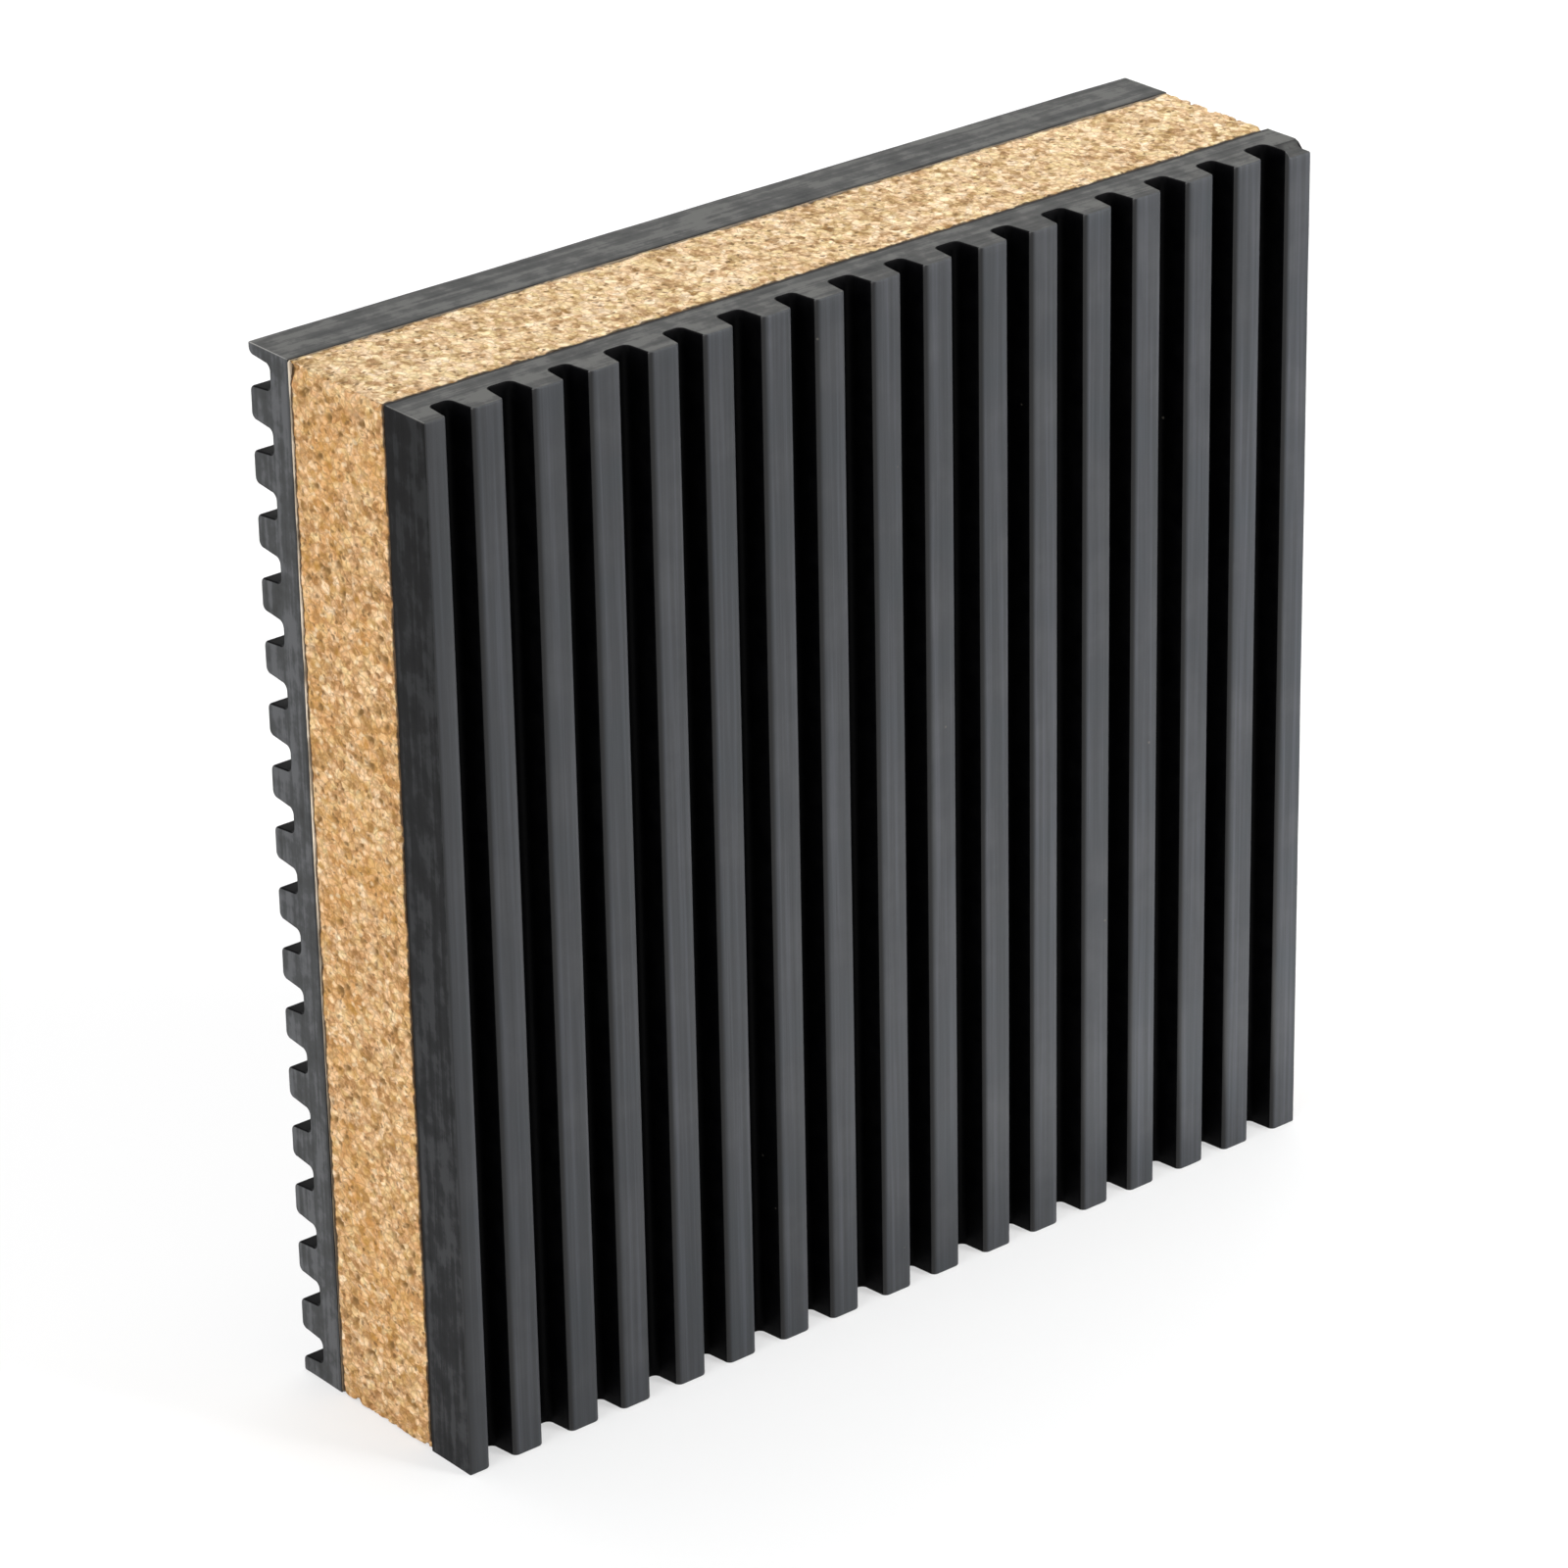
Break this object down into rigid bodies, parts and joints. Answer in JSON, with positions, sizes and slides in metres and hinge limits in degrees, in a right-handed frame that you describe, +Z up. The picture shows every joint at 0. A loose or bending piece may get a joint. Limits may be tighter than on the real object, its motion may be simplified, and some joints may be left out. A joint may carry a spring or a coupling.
{
  "type": "cork anti-vibration mat",
  "caption": "Square anti-vibration mat with a compressed cork core bonded between two ribbed rubber sheets, the ribs of one side crossing those of the other.",
  "frame": {"origin": "centre of the lower cut edge, on the surface the mat stands on", "axes": "+Z up along the front ribs, X across the front ribs with +X to the right seen from the front, -Y out of the front ribbed face, +Y out of the rear ribbed face"},
  "size_m": [0.1016, 0.0254, 0.1016],
  "materials": {
    "ribbed_rubber": "moulded matt black-grey rubber with knife-cut edges",
    "granulated_cork": "compressed cork granules, sawn edges, tan with cream and brown grains",
    "bond_film": "dried contact adhesive, cream where thick and brown where thin"
  },
  "bodies": {
    "root": {"front_ribbed_sheet": "ribbed_rubber", "front_bond_film": "bond_film", "cork_core": "granulated_cork", "rear_bond_film": "bond_film", "rear_ribbed_sheet": "ribbed_rubber"}
  },
  "joints": []
}
